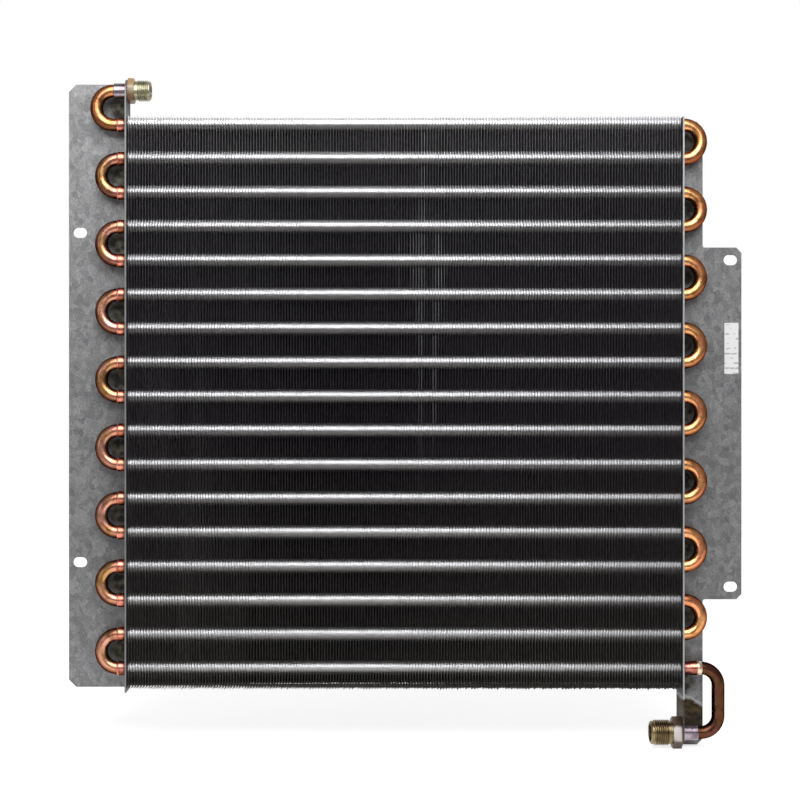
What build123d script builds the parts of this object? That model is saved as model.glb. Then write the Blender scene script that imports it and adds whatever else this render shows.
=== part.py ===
from build123d import *
import os

# An air conditioning condenser of the plate-fin and tube kind, with all its tubes in one upright row.
# Seventeen level copper tubes run through a pack of aluminium fins and through two folded steel end
# plates. Hairpins turn the refrigerant round at the right, and brazed return bends join them at the
# left, so that it runs down through every tube in turn. A bent pipe at the top left and another at the
# bottom right carry it to threaded fittings, each seated against the inner face of an end plate.
#
# Millimetres. X points right, Y points back, Z points up. The origin lies on the rear mounting face of
# the left flange, midway between its two slots.

os.makedirs("parts", exist_ok=True)

# The coil
tube_count = 17
tube_pitch = 25.4
tube_od = 9.52
tube_wall = 0.45
coil_depth = 25.4
coil_mid_z = 0.9  # middle of the row of tubes above the middle of the left slots

# The fin pack
fin_pitch = 4.2
fin_thickness = 0.3
collar_wall = 0.4
fin_top_margin = 5.6  # top tube's centre to the top edge of the fins
fin_bottom_margin = 14.2  # bottom tube's centre to the bottom edge of the fins

# Fits, all radial or end gaps
tube_fit = 0.05  # tube inside a fin collar
plate_fit = 0.3  # tube or neck inside a hole of an end plate
braze_gap = 0.05  # tube inside the bell or neck that it is brazed into
end_gap = 0.3  # fin pack beside a web, and a tube's end before the bottom of its socket

# The end plates, both folded from one sheet thickness
sheet = 1.2
fold_radius = 1.0  # inside of the fold
web_span = 414.8  # outer face to outer face of the two webs
slot_length = 10.4
slot_height = 7.7

# The left end plate
left_web_x = 36.8  # slot line to the outer face of the web
left_flange_width = 45.3
left_slot_spacing = 248.9
left_corner_clip = 5.5
left_web_clip = 5.5
left_top_margin = 6.95  # upper port's centre to the top edge
left_bottom_margin = 2.15  # below the fins

# The right end plate
strip_width = 18.8
tab_width = 48.1
right_slot_inset = 8.3  # slot centre to the free edge of the tab
right_slot_spacing = 246.9
right_slot_mid_z = -19.6
tab_end_margin = 9.5  # slot centre to the tab's end
tab_corner_clip = 4.0
tab_notch_radius = 1.5
strip_corner_clip = 4.5
right_web_clip = 10.0
right_top_drop = 1.3  # top edge below the top of the fins
tail_margin = 11.6  # lower port's centre to the bottom edge

# Bends, bells and braze
hairpin_straight = 2.0  # straight tube outside the right web before a hairpin turns
return_straight = 6.3  # straight tube outside the left web before a return bend turns
bell_reach = 5.8  # mouth of a bell outside its web
bell_depth = 4.6
bell_taper = 0.9
braze_length = 1.1

# The upper pipe and its fitting
upper_rise = 25.4  # top tube to the upper port
upper_straight = 9.9
upper_neck_reach = 9.4
upper_thread_d = 15.88
upper_thread_length = 12.0
upper_hex_across = 17.0
upper_hex_thickness = 5.0
upper_hex_turn = 24.0
upper_seat_d = 10.4

# The lower pipe and its fitting
lower_drop = 48.3  # bottom tube to the lower port
lower_run = 27.7  # upright run outside the right web
lower_bend_radius = 13.0
lower_bell_reach = 11.6
lower_braze_length = 3.2
lower_neck_reach = 12.0
lower_thread_d = 19.05
lower_thread_length = 16.0
lower_hex_across = 20.6
lower_hex_thickness = 6.0
lower_hex_turn = 10.0
lower_seat_d = 13.2

# Both fittings
neck_wall = 0.9
socket_depth = 6.0
relief_width = 1.4
relief_depth = 0.9
thread_chamfer = 1.2
seat_depth = 6.5
hex_chamfer = 0.9

# Places worked out from the sizes
row_y = -coil_depth / 2
tube_radius = tube_od / 2
bend_radius = tube_pitch / 2
top_tube_z = coil_mid_z + (tube_count - 1) * tube_pitch / 2
tube_z = [top_tube_z - i * tube_pitch for i in range(tube_count)]
bottom_tube_z = tube_z[-1]
fin_top_z = top_tube_z + fin_top_margin
fin_bottom_z = bottom_tube_z - fin_bottom_margin
right_web_x = left_web_x + web_span
left_inner_x = left_web_x + sheet
right_inner_x = right_web_x - sheet
left_mouth_x = left_web_x - bell_reach
upper_port_z = top_tube_z + upper_rise
lower_port_z = bottom_tube_z - lower_drop
collar_radius = tube_radius + tube_fit + collar_wall
neck_radius = tube_radius + braze_gap + neck_wall
bell_radius = tube_radius + braze_gap + tube_wall

row_plane = Plane.XZ.offset(-row_y)
tube_places = [(row_y, z) for z in tube_z]


def folded_sheet(flange_edge_x, web_middle_x, bottom_z, top_z):
    """The L-shaped sheet: a flange along the back, folded forwards into a web."""
    with BuildSketch(Plane.XY.offset(bottom_z)) as section:
        with BuildLine():
            FilletPolyline(
                (flange_edge_x, -sheet / 2),
                (web_middle_x, -sheet / 2),
                (web_middle_x, -coil_depth),
                radius=fold_radius + sheet / 2,
            )
        trace(line_width=sheet)
    extrude(section.sketch, amount=top_z - bottom_z)


def web_holes(web_x, port_z):
    """One hole for each tube and a larger one for the neck of the fitting."""
    with BuildSketch(Plane.YZ.offset(web_x)) as holes:
        with Locations(*tube_places):
            Circle(tube_radius + plate_fit)
        with Locations((row_y, port_z)):
            Circle(neck_radius + plate_fit)
    extrude(holes.sketch, amount=2 * sheet, both=True, mode=Mode.SUBTRACT)


def flange_slots(x, spacing, middle_z):
    """Two level slots, one above the other."""
    with BuildSketch(Plane.XZ) as slots:
        with Locations((x, middle_z + spacing / 2), (x, middle_z - spacing / 2)):
            SlotOverall(slot_length, slot_height)
    extrude(slots.sketch, amount=2 * sheet, both=True, mode=Mode.SUBTRACT)


def tube_section(x, z):
    """The ring that is swept into a tube, facing right."""
    with BuildSketch(Plane(origin=(x, row_y, z), z_dir=(1, 0, 0))) as ring:
        Circle(tube_radius)
        Circle(tube_radius - tube_wall, mode=Mode.SUBTRACT)
    return ring.sketch


def bell(mouth_x, inwards, z):
    """A tube's end opened out to take the next tube. It opens at mouth_x and tapers down inwards."""
    with BuildSketch(row_plane) as wall:
        with BuildLine():
            bottom_x = mouth_x + inwards * bell_depth
            taper_x = bottom_x + inwards * bell_taper
            Polyline(
                (mouth_x, z + tube_radius + braze_gap),
                (mouth_x, z + bell_radius),
                (bottom_x, z + bell_radius),
                (taper_x, z + tube_radius),
                (taper_x, z + tube_radius - tube_wall),
                (bottom_x, z + tube_radius + braze_gap),
                close=True,
            )
        make_face()
    revolve(wall.sketch, axis=Axis((0, row_y, z), (1, 0, 0)))


def braze_ring(mouth_x, outwards, length, z):
    """The fillet of filler metal between the mouth of a bell and the tube that leaves it."""
    with BuildSketch(row_plane) as fillet_section:
        with BuildLine():
            inner_z = z + tube_radius + braze_gap
            Line((mouth_x, inner_z), (mouth_x, z + bell_radius))
            RadiusArc((mouth_x, z + bell_radius), (mouth_x + outwards * length, inner_z), 4 * length * outwards)
            Line((mouth_x + outwards * length, inner_z), (mouth_x, inner_z))
        make_face()
    revolve(fillet_section.sketch, axis=Axis((0, row_y, z), (1, 0, 0)))


def port_fitting(seat, neck_length, thread_d, thread_length, hex_across, hex_thickness, hex_turn, seat_d):
    """A turned hexagon fitting. seat lies on the plate's inner face and looks along the thread.

    The neck reaches back through the plate, and the pipe is brazed into its socket.
    """
    side = Plane(origin=seat.origin, x_dir=seat.z_dir, z_dir=seat.y_dir)
    axis = Axis(seat.origin, seat.z_dir)
    corner_radius = 0.55 * hex_across
    thread_end = hex_thickness + thread_length
    bore = tube_radius - tube_wall
    with BuildPart() as fitting:
        with BuildSketch(seat):
            RegularPolygon(hex_across / 2, 6, major_radius=False, rotation=hex_turn)
        extrude(amount=hex_thickness)
        with BuildSketch(side):
            with BuildLine():
                Polyline(
                    (0, 0),
                    (0, corner_radius + hex_chamfer),
                    (hex_thickness - hex_chamfer, corner_radius + hex_chamfer),
                    (hex_thickness, corner_radius - hex_chamfer),
                    (hex_thickness, 0),
                    close=True,
                )
            make_face()
        revolve(axis=axis, mode=Mode.INTERSECT)
        with BuildSketch(side):
            with BuildLine():
                Polyline(
                    (-neck_length, 0),
                    (-neck_length, neck_radius),
                    (hex_thickness / 2, neck_radius),
                    (hex_thickness / 2, thread_d / 2 - relief_depth),
                    (hex_thickness + relief_width, thread_d / 2 - relief_depth),
                    (hex_thickness + relief_width + relief_depth, thread_d / 2),
                    (thread_end - thread_chamfer, thread_d / 2),
                    (thread_end, thread_d / 2 - thread_chamfer),
                    (thread_end, 0),
                    close=True,
                )
            make_face()
        revolve(axis=axis)
        with BuildSketch(side):
            with BuildLine():
                Polyline(
                    (-neck_length, 0),
                    (-neck_length, tube_radius + braze_gap),
                    (socket_depth - neck_length, tube_radius + braze_gap),
                    (socket_depth - neck_length, bore),
                    (thread_end - seat_depth, bore),
                    (thread_end - seat_depth, seat_d / 2),
                    (thread_end, seat_d / 2),
                    (thread_end, 0),
                    close=True,
                )
            make_face()
        revolve(axis=axis, mode=Mode.SUBTRACT)
    return fitting.part


# Left end plate: a tall flange with clipped outer corners, and a web with the front top corner clipped
with BuildPart() as left_end_plate:
    folded_sheet(
        left_web_x - left_flange_width,
        left_web_x + sheet / 2,
        fin_bottom_z - left_bottom_margin,
        upper_port_z + left_top_margin,
    )
    outer_corners = left_end_plate.edges().filter_by(Axis.Y).group_by(Axis.X)[0]
    chamfer(outer_corners, left_corner_clip)
    front_top = left_end_plate.edges().filter_by(Axis.X).group_by(Axis.Y)[0].sort_by(Axis.Z)[-1]
    chamfer(front_top, left_web_clip)
    web_holes(left_web_x, upper_port_z)
    flange_slots(0, left_slot_spacing, 0)
left_end_plate.part.label = "left_end_plate"
export_step(left_end_plate.part, "parts/left_end_plate.step")

# Right end plate: a narrow strip behind the bends, widened into a tab, with a tail for the lower fitting.
# The web's front bottom corner is clipped.
tab_edge_x = right_web_x + tab_width
strip_edge_x = right_web_x + strip_width
tab_top_z = right_slot_mid_z + right_slot_spacing / 2 + tab_end_margin
tab_bottom_z = right_slot_mid_z - right_slot_spacing / 2 - tab_end_margin
right_top_z = fin_top_z - right_top_drop
right_bottom_z = lower_port_z - tail_margin
with BuildPart() as right_end_plate:
    folded_sheet(tab_edge_x, right_web_x - sheet / 2, right_bottom_z, right_top_z)
    cut_width = tab_width
    cut_x = strip_edge_x + cut_width / 2
    upper_cut = right_top_z - tab_top_z + 2 * tab_notch_radius
    lower_cut = tab_bottom_z - right_bottom_z + 2 * tab_notch_radius
    with BuildSketch(Plane.XZ) as notches:
        with Locations((cut_x, tab_top_z + upper_cut / 2)):
            Rectangle(cut_width, upper_cut)
        with Locations((cut_x, tab_bottom_z - lower_cut / 2)):
            Rectangle(cut_width, lower_cut)
        fillet(notches.vertices().group_by(Axis.X)[0], tab_notch_radius)
    extrude(amount=sheet, both=True, mode=Mode.SUBTRACT)
    tab_corners = right_end_plate.edges().filter_by(Axis.Y).group_by(Axis.X)[-1]
    chamfer(tab_corners, tab_corner_clip)
    across = right_end_plate.edges().filter_by(Axis.Y).group_by(Axis.Z)
    strip_corners = [across[0].sort_by(Axis.X)[-1], across[-1].sort_by(Axis.X)[-1]]
    chamfer(strip_corners, strip_corner_clip)
    front_bottom = right_end_plate.edges().filter_by(Axis.X).group_by(Axis.Y)[0].sort_by(Axis.Z)[0]
    chamfer(front_bottom, right_web_clip)
    web_holes(right_web_x, lower_port_z)
    flange_slots(tab_edge_x - right_slot_inset, right_slot_spacing, right_slot_mid_z)
right_end_plate.part.label = "right_end_plate"
export_step(right_end_plate.part, "parts/right_end_plate.step")

# Fin pack: pierced fins whose collars meet the next fin, so that the collars read as one sleeve on each
# tube. It is cut from a drilled block by taking out the air between each fin and the next.
pack_x = left_inner_x + end_gap
pack_length = right_inner_x - end_gap - pack_x
fin_height = fin_top_z - fin_bottom_z
fin_middle_z = (fin_top_z + fin_bottom_z) / 2
gap_count = round((pack_length - fin_thickness) / fin_pitch)
fin_step = (pack_length - fin_thickness) / gap_count
gap_planes = [Plane.YZ.offset(pack_x + fin_thickness + i * fin_step) for i in range(gap_count)]
with BuildPart() as fin_pack:
    with BuildSketch(Plane.YZ.offset(pack_x)):
        with Locations((row_y, fin_middle_z)):
            Rectangle(coil_depth, fin_height)
        with Locations(*tube_places):
            Circle(tube_radius + tube_fit, mode=Mode.SUBTRACT)
    extrude(amount=pack_length)
    with BuildSketch(*gap_planes):
        with Locations((row_y, fin_middle_z)):
            Rectangle(2 * coil_depth, fin_height + coil_depth)
        with Locations(*tube_places):
            Circle(collar_radius, mode=Mode.SUBTRACT)
    extrude(amount=fin_step - fin_thickness, mode=Mode.SUBTRACT)
fin_pack.part.label = "fin_pack"
export_step(fin_pack.part, "parts/fin_pack.step")

# Hairpins: each is one tube bent back on itself at the right, with both left ends belled
tube_start_x = left_mouth_x + bell_depth + bell_taper
hairpin_turn_x = right_web_x + hairpin_straight
for number, upper_z in enumerate(tube_z[: tube_count - tube_count % 2 : 2], start=1):
    lower_z = upper_z - tube_pitch
    with BuildPart() as hairpin_tube:
        with BuildLine(row_plane) as route:
            Line((tube_start_x, upper_z), (hairpin_turn_x, upper_z))
            ThreePointArc(
                (hairpin_turn_x, upper_z),
                (hairpin_turn_x + bend_radius, upper_z - bend_radius),
                (hairpin_turn_x, lower_z),
            )
            Line((hairpin_turn_x, lower_z), (tube_start_x, lower_z))
        sweep(tube_section(tube_start_x, upper_z), path=route.line)
        bell(left_mouth_x, 1, upper_z)
        bell(left_mouth_x, 1, lower_z)
    hairpin_tube.part.label = f"hairpin_tube_{number}"
    export_step(hairpin_tube.part, f"parts/hairpin_tube_{number}.step")

# Straight tube: the last one, belled at both ends
lower_mouth_x = right_web_x + lower_bell_reach
straight_end_x = lower_mouth_x - bell_depth - bell_taper
with BuildPart() as straight_tube:
    extrude(tube_section(tube_start_x, bottom_tube_z), amount=straight_end_x - tube_start_x)
    bell(left_mouth_x, 1, bottom_tube_z)
    bell(lower_mouth_x, -1, bottom_tube_z)
straight_tube.part.label = "straight_tube"
export_step(straight_tube.part, "parts/straight_tube.step")

# Return bends: each joins the lower leg of a hairpin to the next tube down, with its legs in the bells
return_turn_x = left_web_x - return_straight
return_end_x = left_mouth_x + bell_depth - end_gap
for number, upper_z in enumerate(tube_z[1:-1:2], start=1):
    lower_z = upper_z - tube_pitch
    with BuildPart() as return_bend:
        with BuildLine(row_plane) as route:
            Line((return_end_x, lower_z), (return_turn_x, lower_z))
            ThreePointArc(
                (return_turn_x, lower_z),
                (return_turn_x - bend_radius, lower_z + bend_radius),
                (return_turn_x, upper_z),
            )
            Line((return_turn_x, upper_z), (return_end_x, upper_z))
        sweep(tube_section(return_end_x, lower_z), path=route.line)
    return_bend.part.label = f"return_bend_{number}"
    export_step(return_bend.part, f"parts/return_bend_{number}.step")

# Upper pipe: out of the top tube, round and back to the right into the neck of the upper fitting
upper_turn_x = left_web_x - upper_straight
upper_bend_radius = upper_rise / 2
upper_socket_x = left_web_x - upper_neck_reach + socket_depth - end_gap
with BuildPart() as upper_pipe:
    with BuildLine(row_plane) as route:
        Line((return_end_x, top_tube_z), (upper_turn_x, top_tube_z))
        ThreePointArc(
            (upper_turn_x, top_tube_z),
            (upper_turn_x - upper_bend_radius, top_tube_z + upper_bend_radius),
            (upper_turn_x, upper_port_z),
        )
        Line((upper_turn_x, upper_port_z), (upper_socket_x, upper_port_z))
    sweep(tube_section(return_end_x, top_tube_z), path=route.line)
upper_pipe.part.label = "upper_pipe"
export_step(upper_pipe.part, "parts/upper_pipe.step")

# Lower pipe: out of the bottom tube, down and back to the left into the neck of the lower fitting
lower_run_x = right_web_x + lower_run
lower_pipe_x = lower_mouth_x - bell_depth + end_gap
lower_socket_x = right_web_x + lower_neck_reach - socket_depth + end_gap
with BuildPart() as lower_pipe:
    with BuildLine(row_plane) as route:
        FilletPolyline(
            (lower_pipe_x, bottom_tube_z),
            (lower_run_x, bottom_tube_z),
            (lower_run_x, lower_port_z),
            (lower_socket_x, lower_port_z),
            radius=lower_bend_radius,
        )
    sweep(tube_section(lower_pipe_x, bottom_tube_z), path=route.line)
lower_pipe.part.label = "lower_pipe"
export_step(lower_pipe.part, "parts/lower_pipe.step")

# Fittings: the thread of the upper one points right, the thread of the lower one points left
upper_seat = Plane(origin=(left_inner_x, row_y, upper_port_z), x_dir=(0, 0, 1), z_dir=(1, 0, 0))
upper_fitting = port_fitting(
    upper_seat,
    upper_neck_reach + sheet,
    upper_thread_d,
    upper_thread_length,
    upper_hex_across,
    upper_hex_thickness,
    upper_hex_turn,
    upper_seat_d,
)
upper_fitting.label = "upper_fitting"
export_step(upper_fitting, "parts/upper_fitting.step")

lower_seat = Plane(origin=(right_inner_x, row_y, lower_port_z), x_dir=(0, 0, 1), z_dir=(-1, 0, 0))
lower_fitting = port_fitting(
    lower_seat,
    lower_neck_reach + sheet,
    lower_thread_d,
    lower_thread_length,
    lower_hex_across,
    lower_hex_thickness,
    lower_hex_turn,
    lower_seat_d,
)
lower_fitting.label = "lower_fitting"
export_step(lower_fitting, "parts/lower_fitting.step")

# Braze rings: one at the mouth of every bell. The two of a return bend share a node.
with BuildPart() as upper_braze_ring:
    braze_ring(left_mouth_x, -1, braze_length, top_tube_z)
upper_braze_ring.part.label = "upper_braze_ring"
export_step(upper_braze_ring.part, "parts/upper_braze_ring.step")

for number, upper_z in enumerate(tube_z[1:-1:2], start=1):
    with BuildPart() as bend_braze_rings:
        for z in (upper_z, upper_z - tube_pitch):
            braze_ring(left_mouth_x, -1, braze_length, z)
    bend_braze_rings.part.label = f"bend_braze_rings_{number}"
    export_step(bend_braze_rings.part, f"parts/bend_braze_rings_{number}.step")

with BuildPart() as lower_braze_ring:
    braze_ring(lower_mouth_x, 1, lower_braze_length, bottom_tube_z)
lower_braze_ring.part.label = "lower_braze_ring"
export_step(lower_braze_ring.part, "parts/lower_braze_ring.step")
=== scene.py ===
# %% [markdown]
# # An air conditioning condenser
# A condenser lets a hot refrigerant give its heat to the air. The gas comes in at the upper fitting,
# runs through seventeen level copper tubes in turn, and leaves as a liquid at the lower fitting. Thin
# aluminium fins stand close together on the tubes and carry the heat away.
# The measured model holds every size. This file loads it as a fixed frame and gives it its looks.

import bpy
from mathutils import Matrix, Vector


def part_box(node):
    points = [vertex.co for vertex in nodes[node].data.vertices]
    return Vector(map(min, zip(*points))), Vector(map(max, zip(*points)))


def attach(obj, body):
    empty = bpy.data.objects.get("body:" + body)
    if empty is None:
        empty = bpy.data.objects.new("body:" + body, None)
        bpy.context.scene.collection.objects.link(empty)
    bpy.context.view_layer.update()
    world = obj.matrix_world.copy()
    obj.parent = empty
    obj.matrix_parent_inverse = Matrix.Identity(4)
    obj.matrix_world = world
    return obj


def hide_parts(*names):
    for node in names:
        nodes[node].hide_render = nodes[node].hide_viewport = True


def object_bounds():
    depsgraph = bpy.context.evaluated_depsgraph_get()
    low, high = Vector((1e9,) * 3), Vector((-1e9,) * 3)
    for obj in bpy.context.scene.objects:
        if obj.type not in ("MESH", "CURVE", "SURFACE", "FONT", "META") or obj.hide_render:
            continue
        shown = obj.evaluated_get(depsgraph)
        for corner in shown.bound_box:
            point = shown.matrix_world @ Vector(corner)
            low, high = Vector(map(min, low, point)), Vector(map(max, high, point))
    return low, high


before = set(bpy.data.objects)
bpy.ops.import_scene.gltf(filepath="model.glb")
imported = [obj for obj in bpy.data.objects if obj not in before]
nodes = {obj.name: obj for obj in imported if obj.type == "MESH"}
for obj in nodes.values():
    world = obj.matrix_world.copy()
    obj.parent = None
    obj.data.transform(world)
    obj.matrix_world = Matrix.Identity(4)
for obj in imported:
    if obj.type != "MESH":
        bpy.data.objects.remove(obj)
print("measured nodes:", len(nodes))

# %% [markdown]
# ## The box of the measured model
# A visual model may add detail but no size. The box of the measured model is kept at the start.

# %% Measure the frame
import math

import bpy
from mathutils import Vector

cad_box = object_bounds()
print("measured box", [[round(v, 4) for v in corner] for corner in cad_box])

# %% [markdown]
# ## The sizes that the new pieces share
# Lengths are written in millimetres, as on a drawing, and turned into metres by one factor. The tubes
# lie in one upright row, half the coil's depth behind its front. Each size stands here once.

# %% Sizes
MM = 0.001
TUBE_COUNT = 17
PITCH = 25.4 * MM
TUBE_R = 4.76 * MM
TUBE_WALL = 0.45 * MM
BELL_R = TUBE_R + 0.5 * MM
DEPTH = 25.4 * MM
ROW_Y = -DEPTH / 2
tube_z = [0.9 * MM + (8 - i) * PITCH for i in range(TUBE_COUNT)]
left_web = 36.8 * MM
right_web = left_web + 414.8 * MM
sheet = 1.2 * MM
left_mouth = left_web - 5.8 * MM
upper_port_z = tube_z[0] + PITCH
lower_port_z = tube_z[-1] - 48.3 * MM
pack_low, pack_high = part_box("fin_pack")
print("tubes from z", round(tube_z[0], 4), "down to", round(tube_z[-1], 4))

# %% [markdown]
# ## Small helpers
# Blender's operators act on whatever is selected, so each step first picks its object, and then the
# faces or points that it needs, by their place. Written once here, that stays short further on.

# %% Helpers for picking
def select_only(*objects):
    bpy.ops.object.select_all(action="DESELECT")
    for o in objects:
        o.select_set(True)
    bpy.context.view_layer.objects.active = objects[0]


def pick(o, kind, test):
    """Opens edit mode with only those faces or points selected that pass the test."""
    select_only(o)
    bpy.ops.object.mode_set(mode="EDIT")
    bpy.ops.mesh.select_mode(type=kind)
    bpy.ops.mesh.select_all(action="DESELECT")
    bpy.ops.object.mode_set(mode="OBJECT")
    for item in o.data.polygons if kind == "FACE" else o.data.vertices:
        item.select = bool(test(item.center if kind == "FACE" else item.co))
    bpy.ops.object.mode_set(mode="EDIT")


def leave_edit():
    bpy.ops.object.mode_set(mode="OBJECT")


def place(o):
    """Moves the object's place and turn into its mesh."""
    select_only(o)
    bpy.ops.object.transform_apply(location=True, rotation=True, scale=True)


def apply_new(o, kind, **settings):
    """Adds a modifier, sets it up and applies it."""
    select_only(o)
    bpy.ops.object.modifier_add(type=kind)
    modifier = o.modifiers[-1]
    for key, value in settings.items():
        setattr(modifier, key, value)
    bpy.ops.object.modifier_apply(modifier=modifier.name)


def tidy_mesh(o):
    """Merges doubles and turns every face outwards."""
    pick(o, "VERT", lambda co: True)
    bpy.ops.mesh.remove_doubles(threshold=0.00002)
    bpy.ops.mesh.normals_make_consistent(inside=False)
    leave_edit()


def copy_to(o, name, shift):
    """A copy with its own mesh, moved and placed."""
    select_only(o)
    bpy.ops.object.duplicate(linked=False)
    twin = bpy.context.active_object
    bpy.ops.transform.translate(value=shift)
    place(twin)
    twin.name = twin.data.name = name
    return twin


def finish_piece(o, name, material, stands_for=(), angle=40):
    """Names a piece, shades it, gives it its finish and ties it to the frame."""
    o.name = o.data.name = name
    select_only(o)
    bpy.ops.object.shade_smooth_by_angle(angle=math.radians(angle))
    if material is not None:
        o.data.materials.clear()
        o.data.materials.append(material)
    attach(o, "root")
    if stands_for:
        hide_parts(*stands_for)
    print(name, "faces", len(o.data.polygons))


print("helpers ready")

# %% [markdown]
# ## Turned shapes
# Tubes, sleeves, fitting bodies and fillets are all round about a level line. A lathe hand thinks of
# them as stations: so far along, so wide. A circle is added at the first station, and each next one is
# an extrusion along X and a resize about the line. A spin of a drawn outline would give the same shape,
# but stations are easier to read and to change.

# %% Helper for turned shapes
def turned(stations, z, sides=32, closed=True):
    """Builds a round shape along X from (x, radius) stations. Closed joins the last to the first."""
    x, r = stations[0]
    bpy.ops.object.select_all(action="DESELECT")
    bpy.ops.mesh.primitive_circle_add(
        vertices=sides, radius=r, location=(x, ROW_Y, z), rotation=(0, math.pi / 2, 0)
    )
    o = bpy.context.active_object
    place(o)
    pick(o, "VERT", lambda co: True)
    if closed:
        stations = stations + stations[:1]
    for next_x, next_r in stations[1:]:
        bpy.ops.mesh.extrude_region_move(TRANSFORM_OT_translate={"value": (next_x - x, 0, 0)})
        scale = next_r / r
        bpy.ops.transform.resize(value=(1, scale, scale), center_override=(next_x, ROW_Y, z))
        x, r = next_x, next_r
    leave_edit()
    tidy_mesh(o)
    return o


print("turned shapes ready")

# %% [markdown]
# ## Building finishes
# Each finish is a small node tree on the Principled shader. Its pattern reads Object coordinates, so it
# sticks to the metal from every side, and its steady numbers stand on the shader's own sockets.

# %% Helpers for finishes
def new_finish(name, roughness, metallic):
    material = bpy.data.materials.new(name)
    material.use_nodes = True
    tree = material.node_tree
    shader = next(n for n in tree.nodes if n.type == "BSDF_PRINCIPLED")
    shader.inputs["Roughness"].default_value = roughness
    shader.inputs["Metallic"].default_value = metallic
    return material, tree, shader


def object_place(tree, stretch=(1, 1, 1)):
    """Object coordinates, stretched along each axis."""
    coords = tree.nodes.new("ShaderNodeTexCoord")
    mapping = tree.nodes.new("ShaderNodeMapping")
    mapping.inputs["Scale"].default_value = stretch
    tree.links.new(coords.outputs["Object"], mapping.inputs["Vector"])
    return mapping.outputs["Vector"]


def axis_value(tree, axis, low, high):
    """0 below low and 1 above high, along one axis of the object, in metres."""
    split = tree.nodes.new("ShaderNodeSeparateXYZ")
    tree.links.new(object_place(tree), split.inputs["Vector"])
    span = tree.nodes.new("ShaderNodeMapRange")
    span.inputs["From Min"].default_value = low
    span.inputs["From Max"].default_value = high
    tree.links.new(split.outputs[axis], span.inputs["Value"])
    return span.outputs["Result"]


def noise(tree, scale, detail=3, stretch=(1, 1, 1)):
    node = tree.nodes.new("ShaderNodeTexNoise")
    node.inputs["Scale"].default_value = scale
    node.inputs["Detail"].default_value = detail
    tree.links.new(object_place(tree, stretch), node.inputs["Vector"])
    return node.outputs["Fac"]


def ramp(tree, value, stops):
    """Colours or greys along a value: stops are (place, colour)."""
    node = tree.nodes.new("ShaderNodeValToRGB")
    band = node.color_ramp
    while len(band.elements) < len(stops):
        band.elements.new(0.5)
    for element, (at, colour) in zip(band.elements, stops):
        element.position = at
        element.color = (*colour, 1)
    tree.links.new(value, node.inputs["Fac"])
    return node.outputs["Color"]


def blend_colour(tree, factor, low, high, how="MIX"):
    """Mixes two colours by a factor. A colour may be an output or three numbers."""
    node = tree.nodes.new("ShaderNodeMix")
    node.data_type = "RGBA"
    node.blend_type = how
    slots = [s for s in node.inputs if s.type == "RGBA"]
    for socket, value in zip(slots, (low, high)):
        if isinstance(value, tuple):
            socket.default_value = (*value, 1)
        else:
            tree.links.new(value, socket)
    share = next(s for s in node.inputs if s.name == "Factor" and s.type == "VALUE")
    if isinstance(factor, float):
        share.default_value = factor
    else:
        tree.links.new(factor, share)
    return next(s for s in node.outputs if s.type == "RGBA")


def grey(value):
    return (value, value, value)


def between(tree, value, low, high):
    """0 at low and 1 at high."""
    span = tree.nodes.new("ShaderNodeMapRange")
    span.inputs["From Min"].default_value = low
    span.inputs["From Max"].default_value = high
    tree.links.new(value, span.inputs["Value"])
    return span.outputs["Result"]


def sum_of(tree, value, factor, added):
    """value * factor + added, where added may be an output or a number."""
    node = tree.nodes.new("ShaderNodeMath")
    node.operation = "MULTIPLY_ADD"
    tree.links.new(value, node.inputs[0])
    node.inputs[1].default_value = factor
    if isinstance(added, float):
        node.inputs[2].default_value = added
    else:
        tree.links.new(added, node.inputs[2])
    return node.outputs["Value"]


def height_over_rows(tree, row_z, row_pitch):
    """Height over the nearest of many level rows, where row_z is one of them."""
    split = tree.nodes.new("ShaderNodeSeparateXYZ")
    tree.links.new(object_place(tree), split.inputs["Vector"])
    rows = tree.nodes.new("ShaderNodeMath")
    rows.operation = "MODULO"
    rows.inputs[1].default_value = row_pitch
    tree.links.new(sum_of(tree, split.outputs["Z"], 1.0, 40.5 * row_pitch - row_z), rows.inputs[0])
    return split.outputs["X"], sum_of(tree, rows.outputs["Value"], 1.0, -row_pitch / 2)


def relief(tree, shader, value, strength, distance):
    bump = tree.nodes.new("ShaderNodeBump")
    bump.inputs["Strength"].default_value = strength
    bump.inputs["Distance"].default_value = distance
    tree.links.new(value, bump.inputs["Height"])
    tree.links.new(bump.outputs["Normal"], shader.inputs["Normal"])


print("finish helpers ready")

# %% [markdown]
# ## Galvanised sheet
# The end plates are cut from zinc-coated steel. Zinc freezes in flat crystals, so its grey is patchy
# and some patches shine more than others. Voronoi cells give the crystals and noise gives the dull
# veil over them. The cut front edge, found by its depth, gets a flat grey of its own as bare steel; on
# the right plate it is lighter, as a painted highlight along the edge. On the front of the flange inside
# each bend lies a row of round dark patches, two tube pitches apart: smoke stain from the brazing
# torch together with painted shade of the bend.

# %% Finish for the end plates
# Round dark patches inside each bend: smoke stain from the brazing torch together with painted shade of the
# bend.
def soot_and_shade_patches(tree, centre_x, centre_z):
    along, over = height_over_rows(tree, centre_z, 2 * PITCH)
    reach = tree.nodes.new("ShaderNodeCombineXYZ")
    tree.links.new(sum_of(tree, along, 1.0, -centre_x), reach.inputs["X"])
    tree.links.new(over, reach.inputs["Y"])
    far = tree.nodes.new("ShaderNodeVectorMath")
    far.operation = "LENGTH"
    tree.links.new(reach.outputs["Vector"], far.inputs[0])
    cloudy = sum_of(tree, noise(tree, 240, 3), 0.005, far.outputs["Value"])
    patch = ramp(tree, between(tree, cloudy, 14 * MM, 6 * MM), [(0.0, grey(0.0)), (0.8, grey(0.92))])
    in_front = axis_value(tree, "Y", -0.5 * MM, -0.7 * MM)
    return blend_colour(tree, 1.0, patch, in_front, "MULTIPLY")


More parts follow.
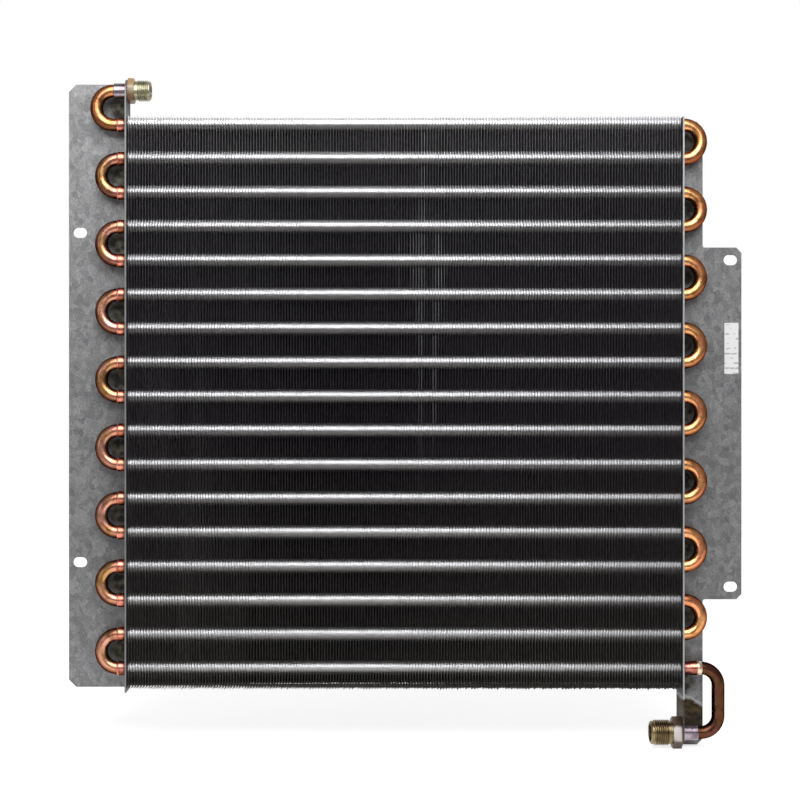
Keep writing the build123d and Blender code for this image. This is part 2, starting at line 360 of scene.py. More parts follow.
def galvanised(name, dull, bright, seam, soot_and_shade_x, soot_and_shade_z):
    material, tree, shader = new_finish(name, 0.46, 0.7)
    cells = tree.nodes.new("ShaderNodeTexVoronoi")
    cells.inputs["Scale"].default_value = 260
    tree.links.new(object_place(tree, (1, 1, 0.8)), cells.inputs["Vector"])
    tone = tree.nodes.new("ShaderNodeSeparateColor")
    tree.links.new(cells.outputs["Color"], tone.inputs["Color"])
    crystal = ramp(tree, tone.outputs["Red"], [(0, grey(dull)), (1, grey(bright))])
    veil = ramp(tree, noise(tree, 700, 2), [(0.32, (0.64, 0.65, 0.71)), (0.68, (1.0, 0.99, 0.96))])
    sheet_colour = blend_colour(tree, 1.0, crystal, veil, "MULTIPLY")
    # The cut front edge takes the flat seam grey: bare steel, and where that grey is lighter than the sheet,
    # a painted highlight.
    front = axis_value(tree, "Y", -25.15 * MM, -25.3 * MM)
    # Colour of the patches inside the bends: smoke stain and painted shade.
    soot_and_shade_colour = ramp(tree, noise(tree, 190, 2), [(0.42, (0.008, 0.007, 0.006)), (0.7, (0.13, 0.12, 0.085))])
    soot_and_shaded = blend_colour(tree, soot_and_shade_patches(tree, soot_and_shade_x, soot_and_shade_z), sheet_colour, soot_and_shade_colour)
    rough = ramp(tree, noise(tree, 90, 4), [(0.3, grey(0.38)), (0.7, grey(0.56))])
    tree.links.new(rough, shader.inputs["Roughness"])
    relief(tree, shader, noise(tree, 220, 5), 0.12, 0.0004)
    shader.inputs["Specular Tint"].default_value = (0.5, 0.5, 0.5, 1)
    return material, tree, shader, blend_colour(tree, front, soot_and_shaded, grey(seam))


left_zinc, tree, shader, zinc = galvanised(
    "left_zinc", 0.20, 0.31, 0.20, left_web - 7 * MM, tube_z[1] - PITCH / 2
)
tree.links.new(zinc, shader.inputs["Base Color"])
right_zinc, tree, shader, zinc = galvanised(
    "right_zinc", 0.19, 0.30, 0.36, right_web + 4 * MM, tube_z[0] - PITCH / 2
)
print("zinc mixed")

# %% [markdown]
# ## The stained and shaded tail
# Below a slanting line the tail of the right plate is painted a dark green-brown: a heat stain from
# brazing the lower pipe, and also painted shade of the pipe and the fin pack. A pale line is painted
# along its upper edge as a highlight. It follows the sheet's own place: a line that falls to the right,
# with a ragged edge from a little noise, and the bottom edge stays clean.

# %% Heat stain and painted shade on the right plate's tail
split = tree.nodes.new("ShaderNodeSeparateXYZ")
tree.links.new(object_place(tree), split.inputs["Vector"])

slant_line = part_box("right_end_plate")[0].z + 40 * MM + 0.47 * right_web
height_over_line = sum_of(tree, split.outputs["X"], 0.47, split.outputs["Z"])
ragged = sum_of(tree, noise(tree, 220, 4), 0.006, height_over_line)
# Dark below the slanting line: heat stain and painted shade of the lower pipe and the fin pack.
tail_stain_and_shade = ramp(
    tree, between(tree, ragged, slant_line - 14 * MM, slant_line + 8 * MM),
    [(0.0, grey(0.9)), (0.62, grey(1.0)), (0.7, grey(0.0)), (1.0, grey(0.0))],
)
# A pale slanting line along the upper edge of the stain: a painted highlight.
painted_edge_highlight = ramp(
    tree, between(tree, ragged, slant_line - 14 * MM, slant_line + 8 * MM),
    [(0.66, grey(0.0)), (0.74, grey(0.8)), (0.82, grey(0.0))],
)
clean_edge = between(tree, split.outputs["Z"], cad_box[0].z + 2 * MM, cad_box[0].z + 8 * MM)
tail_stain_and_shade_share = blend_colour(tree, 1.0, tail_stain_and_shade, clean_edge, "MULTIPLY")
stain_and_shade_colour = ramp(tree, noise(tree, 260, 3), [(0.35, (0.020, 0.012, 0.006)), (0.65, (0.075, 0.055, 0.022))])
stained_and_shaded_zinc = blend_colour(tree, tail_stain_and_shade_share, zinc, stain_and_shade_colour)
tree.links.new(blend_colour(tree, painted_edge_highlight, stained_and_shaded_zinc, grey(0.42)), shader.inputs["Base Color"])
for node, finish in (("left_end_plate", left_zinc), ("right_end_plate", right_zinc)):
    nodes[node].data.materials.clear()
    nodes[node].data.materials.append(finish)
print("end plates finished")

# %% [markdown]
# ## Copper
# The bends are drawn copper. Brazing heat turned them: pink near the joints, gold and brown further on.
# Slow noises mix those tints. The flanks of the tubes and the outside of each bend are darkened, most
# of all below: partly brown oxide, partly painted shade for the dark edges and undersides. The outside
# is found by its distance from the middle of the bend. The left bends are pinker than the right ones.
# The lower pipe stands outside those rows and is tarnished dark brown.

# %% Finish for tubes, bends and pipes
def oxide_and_shade_outside_of_bends(tree, turn_x, way, centre_z):
    """1 on the lower outside of every bend that turns at turn_x, and a little on the upper outside: oxide and
    painted shade.
    """
    along, over = height_over_rows(tree, centre_z, 2 * PITCH)
    past = tree.nodes.new("ShaderNodeMath")
    past.operation = "MAXIMUM"
    past.inputs[1].default_value = 0.0
    tree.links.new(sum_of(tree, along, way, -way * turn_x), past.inputs[0])
    reach = tree.nodes.new("ShaderNodeCombineXYZ")
    tree.links.new(past.outputs["Value"], reach.inputs["X"])
    tree.links.new(over, reach.inputs["Y"])
    far = tree.nodes.new("ShaderNodeVectorMath")
    far.operation = "LENGTH"
    tree.links.new(reach.outputs["Vector"], far.inputs[0])
    outer = ramp(
        tree, between(tree, far.outputs["Value"], 13.2 * MM, 15.6 * MM),
        [(0.0, grey(0.0)), (1.0, grey(1.0))],
    )
    # Darker below the middle of the bend: painted shade.
    low = ramp(tree, between(tree, over, 8 * MM, -4 * MM), [(0.0, grey(0.45)), (1.0, grey(0.95))])
    return blend_colour(tree, 1.0, outer, low, "MULTIPLY")


def copper(name, pink, gold, brown, roughness, flank_oxide_and_shade, bends=None):
    material, tree, shader = new_finish(name, roughness, 1.0)
    tint = ramp(tree, noise(tree, 70, 2), [(0.35, pink), (0.62, gold)])
    stain = ramp(tree, noise(tree, 160, 5), [(0.5, grey(0.0)), (0.72, grey(0.75))])
    face = blend_colour(tree, stain, tint, brown)
    # The flanks darken away from the front of the tube: brown oxide and painted shade for the dark edges.
    flank = ramp(
        tree, axis_value(tree, "Y", ROW_Y - TUBE_R, ROW_Y + TUBE_R),
        [(0.12, grey(0.0)), (0.34, grey(flank_oxide_and_shade)), (1.0, grey(0.5 * flank_oxide_and_shade))],
    )
    heated = ramp(
        tree, axis_value(tree, "X", left_web - 20 * MM, left_web + 20 * MM),
        [(0.2, grey(0.0)), (0.36, grey(0.75)), (0.6, grey(0.75)), (0.7, grey(0.0))],
    )
    face = blend_colour(tree, heated, face, (0.66, 0.20, 0.16))
    if bends:
        face = blend_colour(tree, oxide_and_shade_outside_of_bends(tree, *bends), face, brown)
    tree.links.new(blend_colour(tree, flank, face, brown), shader.inputs["Base Color"])
    rough = ramp(tree, noise(tree, 240, 4), [(0.3, grey(roughness - 0.06)), (0.7, grey(roughness + 0.1))])
    tree.links.new(rough, shader.inputs["Roughness"])
    shader.inputs["Specular Tint"].default_value = (0.4, 0.16, 0.08, 1)
    relief(tree, shader, noise(tree, 420, 3), 0.1, 0.0003)
    return material


left_middle = tube_z[1] - PITCH / 2
right_middle = tube_z[0] - PITCH / 2
left_copper = copper(
    "left_copper", (0.74, 0.34, 0.28), (0.52, 0.27, 0.11), (0.085, 0.026, 0.012), 0.26, 0.9,
    (left_web - 6.3 * MM, -1, left_middle),
)
right_copper = copper(
    "right_copper", (0.82, 0.31, 0.15), (0.84, 0.43, 0.16), (0.24, 0.07, 0.025), 0.24, 0.8,
    (right_web + 2 * MM, 1, right_middle),
)
pipe_copper = copper(
    "pipe_copper", (0.62, 0.25, 0.14), (0.58, 0.27, 0.08), (0.12, 0.04, 0.016), 0.26, 0.85,
    (left_web - 9.9 * MM, -1, left_middle),
)
dark_copper = copper(
    "dark_copper", (0.12, 0.042, 0.03), (0.075, 0.038, 0.014), (0.014, 0.007, 0.005), 0.28, 0.95,
)
stub_copper = copper(
    "stub_copper", (0.60, 0.20, 0.18), (0.56, 0.22, 0.14), (0.16, 0.05, 0.03), 0.24, 0.7,
    (left_web, -1, left_middle),
)
for number in range(1, 9):
    nodes[f"return_bend_{number}"].data.materials.clear()
    nodes[f"return_bend_{number}"].data.materials.append(left_copper)
for node, finish in (("upper_pipe", pipe_copper), ("lower_pipe", dark_copper)):
    nodes[node].data.materials.clear()
    nodes[node].data.materials.append(finish)
print("copper finished")

# %% [markdown]
# ## The hairpins
# A hairpin is one long tube bent back on itself at the right, with both ends belled at the left. It is
# made as the bender makes it: a ring is drawn along the upper leg, spun half a turn and drawn back
# along the lower leg. Solidify then gives the wall. One is modelled, and seven copies follow it.

# %% Hairpin tube
turn_x = right_web + 2.0 * MM
bell_stations = [(left_mouth, BELL_R), (left_mouth + 4.6 * MM, BELL_R), (left_mouth + 5.5 * MM, TUBE_R)]
hairpin = turned(bell_stations + [(turn_x, TUBE_R)], tube_z[0], closed=False)
pick(hairpin, "VERT", lambda co: co.x > turn_x - 0.0001)
bpy.ops.mesh.spin(
    steps=24, angle=math.pi, center=(turn_x, ROW_Y, tube_z[0] - PITCH / 2), axis=(0, -1, 0)
)
leave_edit()
print("hairpin reaches x", round(max(v.co.x for v in hairpin.data.vertices), 4))
lower_leg = [(turn_x, TUBE_R)] + bell_stations[::-1]
leg = turned(lower_leg, tube_z[1], closed=False)
select_only(hairpin, leg)
bpy.ops.object.join()
tidy_mesh(hairpin)
apply_new(hairpin, "SOLIDIFY", thickness=TUBE_WALL, offset=-1)
hairpins = [hairpin]
for number in range(2, 9):
    hairpins.append(copy_to(hairpin, f"hairpin_{number}", (0, 0, -2 * PITCH * (number - 1))))
for number, o in enumerate(hairpins, start=1):
    finish_piece(o, f"hairpin_{number}", right_copper, [f"hairpin_tube_{number}"])

# %% [markdown]
# ## The straight tube
# The seventeenth tube has no partner, so it runs straight through and is belled at both ends. It is the
# same kind of turned shape, with its inside stations following the outside ones back.

# %% Straight tube
lower_mouth = right_web + 11.6 * MM
outside = bell_stations + [
    (lower_mouth - 5.5 * MM, TUBE_R),
    (lower_mouth - 4.6 * MM, BELL_R),
    (lower_mouth, BELL_R),
]
inside = [(x, r - TUBE_WALL) for x, r in reversed(outside)]
straight = turned(outside + inside, tube_z[-1])
finish_piece(straight, "straight_tube_17", stub_copper, ["straight_tube"])

# %% [markdown]
# ## The braze fillets
# Filler metal runs into each bell and leaves a small uneven collar round its mouth. A turned ring gives
# the collar, and a Displace modifier with a cloudy texture makes it lumpy. One is made, and each copy
# is turned about its tube so that no two look alike. The one on the lower pipe is longer and paler.

# %% Finishes and pieces for the braze
def braze(name, dark, light):
    material, tree, shader = new_finish(name, 0.32, 1.0)
    tone = ramp(tree, noise(tree, 300, 3), [(0.35, dark), (0.6, light)])
    tree.links.new(tone, shader.inputs["Base Color"])
    relief(tree, shader, noise(tree, 700, 2), 0.2, 0.0003)
    return material


pink_braze = braze("pink_braze", (0.30, 0.10, 0.07), (0.72, 0.34, 0.26))
pale_braze = braze("pale_braze", (0.62, 0.40, 0.26), (0.90, 0.80, 0.62))
lumps = bpy.data.textures.new("braze_lumps", type="CLOUDS")
lumps.noise_scale = 0.0025


def braze_fillet(mouth, outwards, length, z):
    profile = [
        (-0.25, 0.12), (0.05, 0.62), (0.35, 0.58), (0.75, 0.34), (1.0, 0.08), (1.0, 0.02), (-0.25, 0.02),
    ]
    ring = turned([(mouth + outwards * length * a, TUBE_R + b * MM) for a, b in profile], z, sides=36)
    apply_new(ring, "DISPLACE", texture=lumps, texture_coords="LOCAL", strength=0.0004, mid_level=0.5)
    return ring


fillet = braze_fillet(left_mouth, -1, 1.3 * MM, tube_z[0])
fillets = [fillet]
for number, z in enumerate(tube_z[1:], start=1):
    twin = copy_to(fillet, f"fillet_{number}", (0, 0, z - tube_z[0]))
    bpy.ops.object.mode_set(mode="EDIT")
    bpy.ops.mesh.select_all(action="SELECT")
    bpy.ops.transform.rotate(value=number * 1.3, orient_axis="X", center_override=(left_mouth, ROW_Y, z))
    leave_edit()
    fillets.append(twin)
select_only(*fillets)
bpy.ops.object.join()
rings = ["upper_braze_ring"] + [f"bend_braze_rings_{number}" for number in range(1, 9)]
finish_piece(fillet, "braze_fillets", pink_braze, rings, 60)
low_fillet = braze_fillet(lower_mouth, 1, 3.4 * MM, tube_z[-1])
finish_piece(low_fillet, "lower_braze_fillet", pale_braze, ["lower_braze_ring"], 60)

# %% [markdown]
# ## The collars on the tubes
# Each fin is pierced, and the metal round a hole is drawn into a collar that sits on the tube. The
# collars meet, so from the front they read as one bright aluminium sleeve. A sleeve is turned with a
# small lip at each end. Its finish carries the fine rings where one collar meets the next, and a painted
# shade that darkens the lower side of each sleeve, found by the height over the tube's axis.

# %% Finish and pieces for the collars
collar_metal, tree, shader = new_finish("collar_metal", 0.48, 1.0)
along, over_axis = height_over_rows(tree, tube_z[0], PITCH)
# Painted shade: darker below the tube's axis, light above it.
painted_underside_shade = ramp(
    tree, between(tree, over_axis, -5.2 * MM, 5.2 * MM),
    [
        (0.1, (0.22, 0.21, 0.20)), (0.42, (0.50, 0.48, 0.46)),
        (0.54, (0.88, 0.88, 0.90)), (1.0, (0.95, 0.95, 0.96)),
    ],
)
tone = ramp(tree, noise(tree, 130, 4, (1, 3, 3)), [(0.3, grey(0.8)), (0.7, grey(1.0))])
tree.links.new(blend_colour(tree, 1.0, painted_underside_shade, tone, "MULTIPLY"), shader.inputs["Base Color"])
wave = tree.nodes.new("ShaderNodeTexWave")
wave.bands_direction = "X"
wave.inputs["Scale"].default_value = 75
tree.links.new(object_place(tree), wave.inputs["Vector"])
relief(tree, shader, wave.outputs["Fac"], 0.15, 0.0002)

first_x, last_x = pack_low.x, pack_high.x
COLLAR_R = 5.2 * MM
lip = 0.6 * MM
sleeve = turned(
    [
        (first_x, TUBE_R + 0.05 * MM),
        (first_x, COLLAR_R + lip),
        (first_x + 0.4 * MM, COLLAR_R + lip),
        (first_x + 0.8 * MM, COLLAR_R),
        (last_x - 0.8 * MM, COLLAR_R),
        (last_x - 0.4 * MM, COLLAR_R + lip),
        (last_x, COLLAR_R + lip),
        (last_x, TUBE_R + 0.05 * MM),
    ],
    tube_z[0],
    sides=40,
)
sleeves = [sleeve]
for number, z in enumerate(tube_z[1:], start=2):
    sleeves.append(copy_to(sleeve, f"collar_sleeve_{number}", (0, 0, z - tube_z[0])))
for number, o in enumerate(sleeves, start=1):
    finish_piece(o, f"collar_sleeve_{number}", collar_metal)

# %% [markdown]
# ## The fins
# About twelve fins stand on every inch of tube, each of foil 0.15 mm thick. One fin is a grid that is
# flat round the tubes and waved towards the back, which stiffens it and stirs the air, and which also
# closes the straight view through the pack. Its lower edge is crumpled from side to side by handling.
# An Array repeats it, a Displace bends the tips a little, and Solidify gives the foil its thickness.
# Every fin keeps to a few dozen faces. The foil's colour carries painted light: painted shade in the
# gaps, lighter towards the top as painted light from above, a painted reflection of the collars next to
# them and a painted highlight along its top edge.

# %% Finish for the fins
fin_metal, tree, shader = new_finish("fin_metal", 0.4, 0.6)
from_front = axis_value(tree, "Y", -DEPTH, 0.0)
from_below = axis_value(tree, "Z", pack_low.z, pack_high.z)
# Painted shade that changes with depth into the pack.
painted_gap_shade = ramp(
    tree, from_front,
    [
        (0.0, grey(0.17)), (0.25, grey(0.5)), (0.5, grey(0.42)),
        (0.6, grey(0.3)), (0.95, grey(0.2)), (1.0, grey(0.5)),
    ],
)
# Painted light from above: the foil is lighter towards the top of the pack.
painted_light_from_above = ramp(
    tree, from_below,
    [
        (0.0, (0.72, 0.66, 0.60)), (0.5, (0.62, 0.54, 0.62)),
        (0.9, (0.75, 0.70, 0.78)), (0.95, (1.0, 0.94, 1.0)),
    ],
)
mottle = ramp(tree, noise(tree, 420, 3, (1, 0.3, 0.8)), [(0.3, grey(0.4)), (0.7, grey(1.0))])
# dull joins the painted shade, the painted light from above and a random mottle.
dull = blend_colour(tree, 1.0, blend_colour(tree, 1.0, painted_gap_shade, painted_light_from_above, "MULTIPLY"), mottle, "MULTIPLY")
along, over_axis = height_over_rows(tree, tube_z[0], PITCH)
# Painted reflection of the collars, just above each tube's axis in the front part of the fin; mirrored
# carries it.
painted_collar_reflection = ramp(
    tree, between(tree, over_axis, -PITCH / 2, PITCH / 2),
    [
        (0.29, grey(0.0)), (0.33, grey(0.12)), (0.49, grey(0.2)),
        (0.52, grey(0.9)), (0.63, grey(0.9)), (0.67, grey(0.0)),
    ],
)
front_part = ramp(tree, from_front, [(0.3, grey(1.0)), (0.5, grey(0.0))])
mirrored = blend_colour(tree, 1.0, painted_collar_reflection, front_part, "MULTIPLY")
# bright is the colour of that painted reflection and of the painted top highlight.
bright = (0.86, 0.86, 0.88)
# Painted highlight along the top edge of the fins.
painted_top_highlight = ramp(
    tree, axis_value(tree, "Z", pack_high.z - 6 * MM, pack_high.z - 1 * MM),
    [(0.2, grey(0.0)), (0.8, grey(0.9))],
)
tone = blend_colour(tree, painted_top_highlight, blend_colour(tree, mirrored, dull, bright), bright)
tree.links.new(tone, shader.inputs["Base Color"])
rough = ramp(tree, from_front, [(0.3, grey(0.32)), (0.55, grey(0.9))])
tree.links.new(rough, shader.inputs["Roughness"])
print("fin finish ready")

# %% Fin pack
FIN_COUNT = 195
foil = 0.15 * MM
wave_height = 1.1 * MM
height = pack_high.z - pack_low.z
middle_z = (pack_high.z + pack_low.z) / 2
margin = wave_height + 0.25 * MM
fin_step = (last_x - first_x - 2 * margin) / (FIN_COUNT - 1)
bpy.ops.object.select_all(action="DESELECT")
bpy.ops.mesh.primitive_grid_add(
    x_subdivisions=6, y_subdivisions=4, size=1, rotation=(math.pi / 2, 0, math.pi / 2)
)
fins = bpy.context.active_object
fins.scale = (DEPTH - 0.1 * MM, height - 4.4 * MM, 1)
fins.location = (first_x + margin, ROW_Y, middle_z + 1.5 * MM)
place(fins)
columns = sorted({round(v.co.y, 6) for v in fins.data.vertices})
for column, shift in ((columns[-3], -wave_height), (columns[-2], wave_height)):
    pick(fins, "VERT", lambda co: abs(co.y - column) < 0.00001)
    bpy.ops.transform.translate(value=(shift, 0, 0))
    leave_edit()
pick(fins, "VERT", lambda co: co.z < pack_low.z + 4 * MM)
for across in (wave_height, -2 * wave_height):
    bpy.ops.mesh.extrude_region_move(TRANSFORM_OT_translate={"value": (across, 0, -1.5 * MM)})
leave_edit()
print("one fin: points", len(fins.data.vertices), "faces", len(fins.data.polygons))
apply_new(
    fins, "ARRAY", count=FIN_COUNT, use_relative_offset=False, use_constant_offset=True,
    constant_offset_displace=(fin_step, 0, 0),
)
tips = fins.vertex_groups.new(name="tips")
for v in fins.data.vertices:
    if abs(v.co.z - middle_z) > height / 2 - 0.002:
        tips.add([v.index], 1.0 if v.co.z < middle_z else 0.25, "REPLACE")
bent = bpy.data.textures.new("bent_tips", type="CLOUDS")
bent.noise_scale = 0.0014
apply_new(
    fins, "DISPLACE", texture=bent, texture_coords="LOCAL", direction="Z", vertex_group="tips",
    strength=0.0026, mid_level=0.5,
)
lean = bpy.data.textures.new("leaning_foil", type="CLOUDS")
lean.noise_scale = 0.012
apply_new(
    fins, "DISPLACE", texture=lean, texture_coords="LOCAL", direction="X", strength=0.0005, mid_level=0.5,
)
apply_new(fins, "SOLIDIFY", thickness=foil, offset=0)
finish_piece(fins, "fins", fin_metal, ["fin_pack"], 20)

# %% [markdown]
# ## The fittings
# Each port is a turned brass body with a hexagon for the spanner and a fine thread for the hose nut.
# The body is turned from stations. The hexagon is a six-sided prism cut by a chamfered ring, as the
# lathe would leave it, with a Boolean. The thread is a ridge that a Screw modifier winds round the body.

# %% Finishes for the fittings
def brass(name, dark, light, roughness):
    material, tree, shader = new_finish(name, roughness, 0.95)
    tone = ramp(tree, noise(tree, 180, 4), [(0.3, dark), (0.7, light)])
    tree.links.new(tone, shader.inputs["Base Color"])
    relief(tree, shader, noise(tree, 500, 3), 0.12, 0.0003)
    return material


def hexagon_with_painted_light(name, port_z, bands):
    """A hexagon whose flats carry bands of painted highlight and painted shade, by height."""
    material, tree, shader = new_finish(name, 0.3, 0.5)
    height = axis_value(tree, "Z", port_z - 12 * MM, port_z + 12 * MM)
    uneven = sum_of(tree, noise(tree, 300, 3), 0.12, height)
    tree.links.new(ramp(tree, uneven, bands), shader.inputs["Base Color"])
    relief(tree, shader, noise(tree, 500, 3), 0.12, 0.0003)
    return material


upper_brass = brass("upper_brass", (0.30, 0.28, 0.19), (0.50, 0.48, 0.34), 0.34)
lower_brass = brass("lower_brass", (0.13, 0.09, 0.045), (0.27, 0.21, 0.11), 0.3)
# Bands of painted highlight and painted shade across the flats, by height.
upper_hexagon = hexagon_with_painted_light(
    "upper_hexagon", upper_port_z,
    [
        (0.2, (0.16, 0.08, 0.05)), (0.42, (0.30, 0.19, 0.10)),
        (0.62, (0.78, 0.68, 0.54)), (0.75, (0.50, 0.32, 0.16)),
    ],
)
lower_hexagon = hexagon_with_painted_light(
    "lower_hexagon", lower_port_z,
    [
        (0.34, (0.05, 0.022, 0.012)), (0.42, (0.66, 0.58, 0.54)),
        (0.78, (0.80, 0.77, 0.76)), (0.86, (0.12, 0.07, 0.05)),
    ],
)
neck_plating = brass("neck_plating", (0.15, 0.11, 0.14), (0.36, 0.31, 0.35), 0.24)
print("fitting finishes ready")

# %% Helper for a fitting
def port_fitting(seat, way, z, neck, hexagon, across, major, length, pitch, seat_r, turn, finishes):
    """A fitting that looks along way from the plate's inner face at seat. Lengths are in metres."""
    thread_brass, hexagon_brass = finishes
    root = major - 0.61 * pitch
    bore = TUBE_R - TUBE_WALL
    end = hexagon + length
    neck_r = TUBE_R + 0.95 * MM
    stations = [
        (-neck, TUBE_R + 0.05 * MM), (-neck, neck_r - 0.25 * MM), (-neck + 0.3 * MM, neck_r), (0, neck_r),
        (hexagon - 0.2 * MM, neck_r), (hexagon - 0.2 * MM, root), (end - 0.8 * MM, root),
        (end, root - 0.7 * MM), (end, seat_r + 0.3 * MM), (end - 0.4 * MM, seat_r),
        (end - 6.0 * MM, seat_r), (end - 6.5 * MM, bore), (6.0 * MM - neck, bore),
        (6.0 * MM - neck, TUBE_R + 0.05 * MM),
    ]
    body = turned([(seat + way * x, r) for x, r in stations], z, sides=48)
    body.data.materials.append(thread_brass)
    body.data.materials.append(neck_plating)
    for face in body.data.polygons:
        face.material_index = 1 if (face.center.x - seat) * way < -0.5 * MM else 0

    corner = across / math.cos(math.pi / 6) / 2
    ring = turned(
        [
            (seat, neck_r - 0.2 * MM), (seat, corner - 0.7 * MM), (seat + way * 0.6 * MM, corner + 0.4 * MM),
            (seat + way * (hexagon - 0.9 * MM), corner + 0.4 * MM), (seat + way * hexagon, corner - 1.3 * MM),
            (seat + way * hexagon, neck_r - 0.2 * MM),
        ],
        z, sides=64,
    )
    bpy.ops.object.select_all(action="DESELECT")
    bpy.ops.mesh.primitive_cylinder_add(
        vertices=6, radius=corner, depth=hexagon + 2 * MM,
        location=(seat + way * hexagon / 2, ROW_Y, z), rotation=(0, math.pi / 2, 0),
    )
    prism = bpy.context.active_object
    place(prism)
    pick(prism, "VERT", lambda co: True)
    bpy.ops.transform.rotate(value=turn, orient_axis="X", center_override=(seat, ROW_Y, z))
    leave_edit()
    print("hexagon height in mm", round((max(v.co.z for v in prism.data.vertices) - z) / MM * 2, 2))
    apply_new(ring, "BOOLEAN", operation="INTERSECT", object=prism, solver="EXACT")
    bpy.data.objects.remove(prism)
    ring.data.materials.clear()
    ring.data.materials.append(hexagon_brass)

    bpy.ops.object.select_all(action="DESELECT")
    bpy.ops.mesh.primitive_plane_add(size=1, rotation=(math.pi / 2, 0, 0))
    ridge = bpy.context.active_object
    place(ridge)
    for v in ridge.data.vertices:
        low = v.co.z < 0
        side = 1 if v.co.x > 0 else -1
        v.co = (side * (0.44 if low else 0.08) * pitch, 0, root - 0.08 * MM if low else major)
    pick(ridge, "FACE", lambda co: True)
    bpy.ops.mesh.delete(type="ONLY_FACE")
    leave_edit()
    turns = int((length - 3.4 * MM) / pitch)
    apply_new(
        ridge, "SCREW", axis="X", screw_offset=pitch, iterations=turns, steps=32, render_steps=32,
        use_merge_vertices=False,
    )
    select_only(ridge)
    bpy.ops.transform.translate(value=(seat + way * hexagon + 2.4 * MM * way, ROW_Y, z))
    if way < 0:
        bpy.ops.transform.translate(value=(-turns * pitch, 0, 0))
    place(ridge)
    pick(ridge, "VERT", lambda co: True)
    bpy.ops.mesh.fill_holes(sides=4)
    leave_edit()
    tidy_mesh(ridge)
    ridge.data.materials.append(thread_brass)
    select_only(body, ring, ridge)
    bpy.ops.object.join()
    return body


print("fitting helper ready")

# %% [markdown]
# ## The two ports
# The upper fitting looks right from the left plate and takes the smaller hose. The lower one is a size
# larger and looks left from the tail of the right plate.

# %% Upper and lower fitting
upper = port_fitting(
    left_web + sheet, 1, upper_port_z, 10.6 * MM, 5.0 * MM, 17.0 * MM, 7.94 * MM, 12.0 * MM, 1.41 * MM,
    5.2 * MM, math.radians(6), (upper_brass, upper_hexagon),
)
finish_piece(upper, "upper_port", None, ["upper_fitting"], 30)
lower = port_fitting(
    right_web - sheet, -1, lower_port_z, 13.2 * MM, 6.0 * MM, 20.6 * MM, 9.525 * MM, 16.0 * MM, 1.59 * MM,
    6.6 * MM, math.radians(-20), (lower_brass, lower_hexagon),
)
finish_piece(lower, "lower_port", None, ["lower_fitting"], 30)

# %% [markdown]
# ## The label
# A small paper label is stuck on the tab of the right plate. It is a plane whose corners are rounded
# by a bevel, and it is given the thickness of paper. The print is a few plain grey bars, drawn by a wave
# pattern.

# %% Label
paper, tree, shader = new_finish("paper_label", 0.75, 0.0)
bars = tree.nodes.new("ShaderNodeTexWave")
bars.bands_direction = "Z"
bars.inputs["Scale"].default_value = 85
bars.inputs["Distortion"].default_value = 1.5
tree.links.new(object_place(tree), bars.inputs["Vector"])
marks = ramp(tree, bars.outputs["Fac"], [(0.15, grey(0.36)), (0.35, grey(0.68))])
patchy = ramp(tree, noise(tree, 260, 2), [(0.42, grey(0.0)), (0.5, grey(1.0))])
tree.links.new(blend_colour(tree, patchy, marks, grey(0.68)), shader.inputs["Base Color"])
bpy.ops.object.select_all(action="DESELECT")
bpy.ops.mesh.primitive_plane_add(size=1, rotation=(math.pi / 2, 0, 0))
label = bpy.context.active_object
label.scale = (10.6 * MM, 38.6 * MM, 1)
label.location = (492.1 * MM, -sheet - 0.1 * MM, 37.1 * MM)
place(label)
pick(label, "VERT", lambda co: True)
bpy.ops.mesh.bevel(offset=0.8 * MM, segments=4, affect="VERTICES")
leave_edit()
apply_new(label, "SOLIDIFY", thickness=0.12 * MM, offset=0)
finish_piece(label, "label", paper)

# %% [markdown]
# ## Camera
# A product photograph of a flat coil is taken level and straight on, from a little over a metre. The
# lens stays long, so the tubes look parallel, and a small shift sets the coil in the frame.

# %% Camera
bpy.ops.object.camera_add(location=(0.2001, -1.2127, 0.00945), rotation=(math.pi / 2, 0, 0))
camera = bpy.context.active_object
camera.data.sensor_width = 36
camera.data.lens = 72.14
camera.data.shift_x = 0.06875
camera.data.shift_y = -0.01875
camera.data.clip_start = 0.01
bpy.context.scene.camera = camera
print("camera at", tuple(round(v, 3) for v in camera.location))

# %% [markdown]
# ## Floor
# The coil stands on a plain pale floor. Its finish is a soft white that lifts a little where the camera
# or a reflection sees it, so that it meets the white background, and it still takes the shadow.

# %% Floor
bpy.ops.object.select_all(action="DESELECT")
bpy.ops.mesh.primitive_plane_add(size=1, location=(0.22, 0.6, cad_box[0].z - 0.0002))
floor = bpy.context.active_object
floor.scale = (3.4, 2.1, 1)
floor.name = "floor"
place(floor)
floor_finish, tree, shader = new_finish("floor_white", 0.9, 0.0)
shader.inputs["Base Color"].default_value = (0.82, 0.82, 0.82, 1)
shader.inputs["Specular IOR Level"].default_value = 0.0
path = tree.nodes.new("ShaderNodeLightPath")
seen = tree.nodes.new("ShaderNodeMath")
seen.operation = "MAXIMUM"
tree.links.new(path.outputs["Is Camera Ray"], seen.inputs[0])
seen_too = tree.nodes.new("ShaderNodeMath")
seen_too.operation = "MAXIMUM"
tree.links.new(path.outputs["Is Glossy Ray"], seen_too.inputs[0])
tree.links.new(path.outputs["Is Transmission Ray"], seen_too.inputs[1])
tree.links.new(seen_too.outputs["Value"], seen.inputs[1])
lift = tree.nodes.new("ShaderNodeMath")
lift.operation = "MULTIPLY"
lift.inputs[1].default_value = 0.72
tree.links.new(seen.outputs["Value"], lift.inputs[0])
shader.inputs["Emission Color"].default_value = (1, 1, 1, 1)
tree.links.new(lift.outputs["Value"], shader.inputs["Emission Strength"])
floor.data.materials.append(floor_finish)
print("floor at", round(cad_box[0].z, 4))

# %% [markdown]
# ## Light
# One large soft lamp hangs in front and above, so each tube carries a bright line a little above its
# middle. A weaker one stands at the left. The world fills the rest at a plain level. The camera meets
# it as white, and a reflection meets it dim in front of the coil and white behind it.

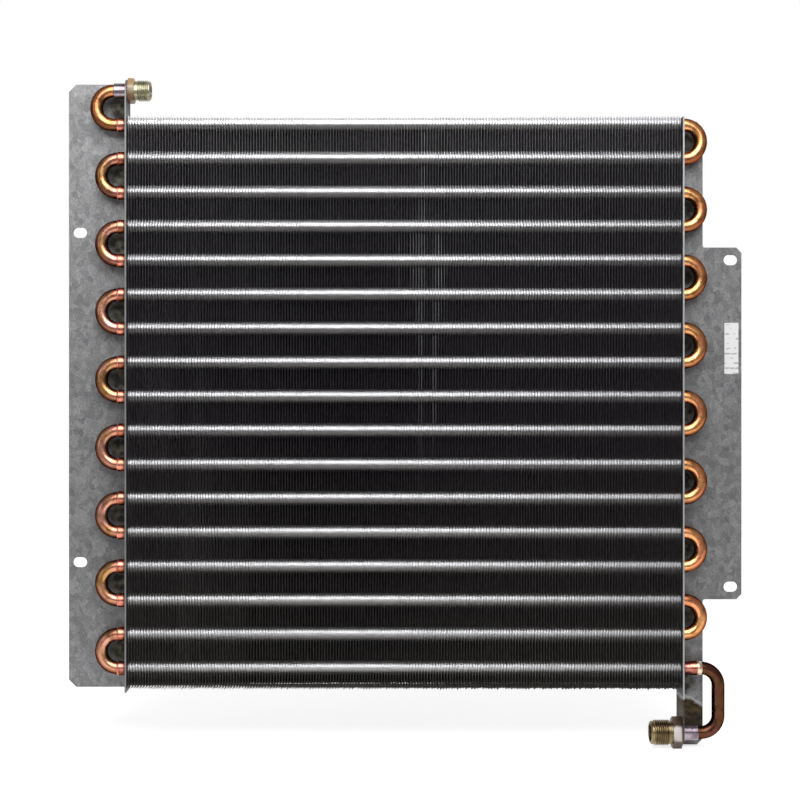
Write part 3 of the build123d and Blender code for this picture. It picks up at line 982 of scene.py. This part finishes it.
# %% Lamps
def soft_lamp(name, place_at, aim, size, power):
    bpy.ops.object.light_add(type="AREA", location=place_at)
    lamp = bpy.context.active_object
    lamp.name = name
    lamp.rotation_euler = (Vector(aim) - Vector(place_at)).to_track_quat("-Z", "Y").to_euler()
    lamp.data.shape = "RECTANGLE"
    lamp.data.size, lamp.data.size_y = size
    lamp.data.energy = power
    return lamp


soft_lamp("key_lamp", (0.22, -0.95, 0.78), (0.23, 0, 0.02), (1.0, 1.0), 18)
soft_lamp("side_lamp", (-1.2, -1.1, 0.3), (0.23, 0, 0), (0.4, 0.8), 1.5)
print("lamps placed")

# %% World
world = bpy.data.worlds.new("studio")
bpy.context.scene.world = world
world.use_nodes = True
tree = world.node_tree
background = next(n for n in tree.nodes if n.type == "BACKGROUND")
path = tree.nodes.new("ShaderNodeLightPath")
seen = tree.nodes.new("ShaderNodeMath")
seen.operation = "MAXIMUM"
tree.links.new(path.outputs["Is Camera Ray"], seen.inputs[0])
tree.links.new(path.outputs["Is Transmission Ray"], seen.inputs[1])
coords = tree.nodes.new("ShaderNodeTexCoord")
way = tree.nodes.new("ShaderNodeSeparateXYZ")
tree.links.new(coords.outputs["Generated"], way.inputs["Vector"])
behind = tree.nodes.new("ShaderNodeMapRange")
behind.inputs["From Min"].default_value = 0.1
behind.inputs["From Max"].default_value = 0.7
behind.inputs["To Min"].default_value = 0.08
behind.inputs["To Max"].default_value = 1.0
tree.links.new(way.outputs["Y"], behind.inputs["Value"])
mirrored = tree.nodes.new("ShaderNodeMath")
mirrored.operation = "MULTIPLY"
tree.links.new(path.outputs["Is Glossy Ray"], mirrored.inputs[0])
tree.links.new(behind.outputs["Result"], mirrored.inputs[1])
shown = tree.nodes.new("ShaderNodeMath")
shown.operation = "MAXIMUM"
tree.links.new(seen.outputs["Value"], shown.inputs[0])
tree.links.new(mirrored.outputs["Value"], shown.inputs[1])
strength = tree.nodes.new("ShaderNodeMath")
strength.operation = "MAXIMUM"
strength.inputs[1].default_value = 0.33
tree.links.new(shown.outputs["Value"], strength.inputs[0])
tree.links.new(strength.outputs["Value"], background.inputs["Strength"])
background.inputs["Color"].default_value = (1, 1, 1, 1)
bpy.context.scene.view_settings.view_transform = "Standard"
print("world ready")
